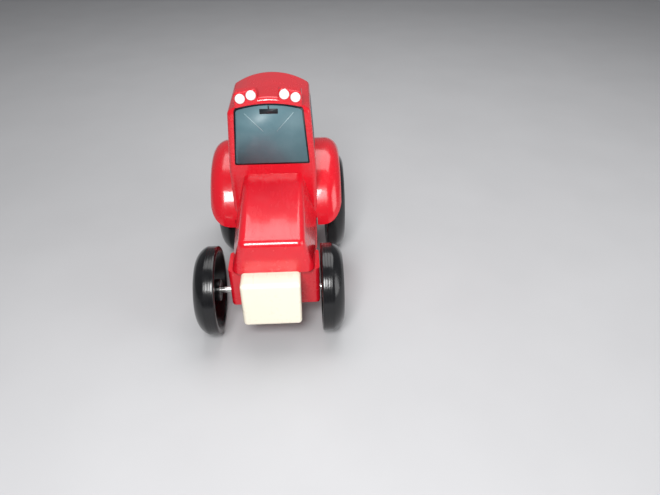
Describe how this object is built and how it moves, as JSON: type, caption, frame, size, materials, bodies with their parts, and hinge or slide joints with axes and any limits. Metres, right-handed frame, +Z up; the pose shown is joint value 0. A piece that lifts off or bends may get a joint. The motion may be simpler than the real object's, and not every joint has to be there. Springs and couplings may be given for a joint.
{
  "type": "toy tractor line follower robot",
  "caption": "Small toy tractor with a hollow two-piece body, free front wheels on a loose pin, two geared rear wheels and a line sensor in a nose block.",
  "frame": {"origin": "centre of the footprint on the ground, below the middle of the bounding box", "axes": "+Z up, the nose points along -Y, the wheel axles run along X"},
  "size_m": [0.045, 0.0734, 0.0648],
  "materials": {
    "black_part": "moulded",
    "black_wheel": "gloss moulded plastic with fine turning lines",
    "brass_pinion": "machined",
    "capacitor_sleeve": "shrink sleeve",
    "clear_led": "clear epoxy",
    "dark_lens": "gloss, infrared-clear",
    "green_board": "solder mask",
    "ivory_block": "gloss moulded plastic",
    "nickel_can": "nickel plated",
    "plated_steel": "zinc plated",
    "polished_steel": "polished",
    "printed_window": "gloss print, blue-grey with a black outline",
    "red_body": "gloss moulded plastic",
    "white_acetal": "satin moulded",
    "white_lamp": "gloss"
  },
  "bodies": {
    "body": {"axle_spine": "white_acetal", "battery_contact_left": "plated_steel", "battery_contact_right": "plated_steel", "board_capacitor": "capacitor_sleeve", "board_screws": "plated_steel", "body_screws": "plated_steel", "button_cell_1": "nickel_can", "button_cell_2": "nickel_can", "button_cell_3": "nickel_can", "control_board": "green_board", "controller_chip": "black_part", "driver_chip": "black_part", "gear_shaft": "polished_steel", "ir_emitter_left": "clear_led", "ir_emitter_right": "clear_led", "ir_receiver_left": "black_part", "ir_receiver_right": "black_part", "lower_chassis": "red_body", "motor_clamp": "white_acetal", "motor_cradle": "white_acetal", "motor_left": "nickel_can", "motor_right": "nickel_can", "nose_housing": "ivory_block", "power_switch": "plated_steel", "rear_window": "printed_window", "sensor_board": "green_board", "sensor_window": "dark_lens", "side_window_left": "printed_window", "side_window_right": "printed_window", "upper_body": "red_body", "windscreen": "printed_window", "work_lamp_1": "white_lamp", "work_lamp_2": "white_lamp", "work_lamp_3": "white_lamp", "work_lamp_4": "white_lamp"},
    "front_axle": {"front_axle": "polished_steel", "front_axle_cap": "polished_steel"},
    "front_wheel_left": {"front_wheel_left": "black_wheel"},
    "front_wheel_right": {"front_wheel_right": "black_wheel"},
    "battery_door": {"battery_door": "red_body"},
    "power_switch_knob": {"power_switch_knob": "black_part"},
    "rear_drive_left": {"half_axle_left": "polished_steel", "rear_wheel_left": "black_wheel", "final_gear_left": "white_acetal"},
    "compound_left": {"compound_gear_left": "white_acetal"},
    "rotor_left": {"motor_shaft_left": "polished_steel", "motor_pinion_left": "brass_pinion"},
    "rear_drive_right": {"half_axle_right": "polished_steel", "rear_wheel_right": "black_wheel", "final_gear_right": "white_acetal"},
    "compound_right": {"compound_gear_right": "white_acetal"},
    "rotor_right": {"motor_shaft_right": "polished_steel", "motor_pinion_right": "brass_pinion"}
  },
  "joints": [
    {"name": "front_axle_float", "type": "slide", "parent": "body", "child": "front_axle", "axis": [1, 0, 0], "range_m": [-0.0004, 0.0033]},
    {"name": "front_wheel_left_spin", "type": "hinge", "parent": "front_axle", "child": "front_wheel_left", "pos_m": [0, -0.0237, 0.013], "axis": [1, 0, 0], "continuous": true},
    {"name": "front_wheel_right_spin", "type": "hinge", "parent": "front_axle", "child": "front_wheel_right", "pos_m": [0, -0.0237, 0.013], "axis": [1, 0, 0], "continuous": true},
    {"name": "rear_wheel_left_spin", "type": "hinge", "parent": "body", "child": "rear_drive_left", "pos_m": [0, 0.0197, 0.017], "axis": [1, 0, 0], "continuous": true},
    {"name": "compound_left_spin", "type": "hinge", "parent": "body", "child": "compound_left", "pos_m": [0, 0.01479, 0.02191], "axis": [1, 0, 0], "continuous": true},
    {"name": "motor_left_spin", "type": "hinge", "parent": "body", "child": "rotor_left", "pos_m": [0, 0.00784, 0.02191], "axis": [1, 0, 0], "continuous": true},
    {"name": "rear_wheel_right_spin", "type": "hinge", "parent": "body", "child": "rear_drive_right", "pos_m": [0, 0.0197, 0.017], "axis": [1, 0, 0], "continuous": true},
    {"name": "compound_right_spin", "type": "hinge", "parent": "body", "child": "compound_right", "pos_m": [0, 0.01479, 0.02191], "axis": [1, 0, 0], "continuous": true},
    {"name": "motor_right_spin", "type": "hinge", "parent": "body", "child": "rotor_right", "pos_m": [0, 0.00784, 0.02191], "axis": [1, 0, 0], "continuous": true},
    {"name": "battery_door_hinge", "type": "hinge", "parent": "body", "child": "battery_door", "pos_m": [0, -0.01545, 0.01045], "axis": [-1, 0, 0], "range_deg": [0, 100]},
    {"name": "power_switch_slide", "type": "slide", "parent": "body", "child": "power_switch_knob", "axis": [1, 0, 0], "range_m": [0, 0.002]}
  ],
  "couplings": [
    {"joint": "compound_left_spin", "follows": "rear_wheel_left_spin", "ratio": -3.6},
    {"joint": "motor_left_spin", "follows": "rear_wheel_left_spin", "ratio": 12.96},
    {"joint": "compound_right_spin", "follows": "rear_wheel_right_spin", "ratio": -3.6},
    {"joint": "motor_right_spin", "follows": "rear_wheel_right_spin", "ratio": 12.96}
  ]
}
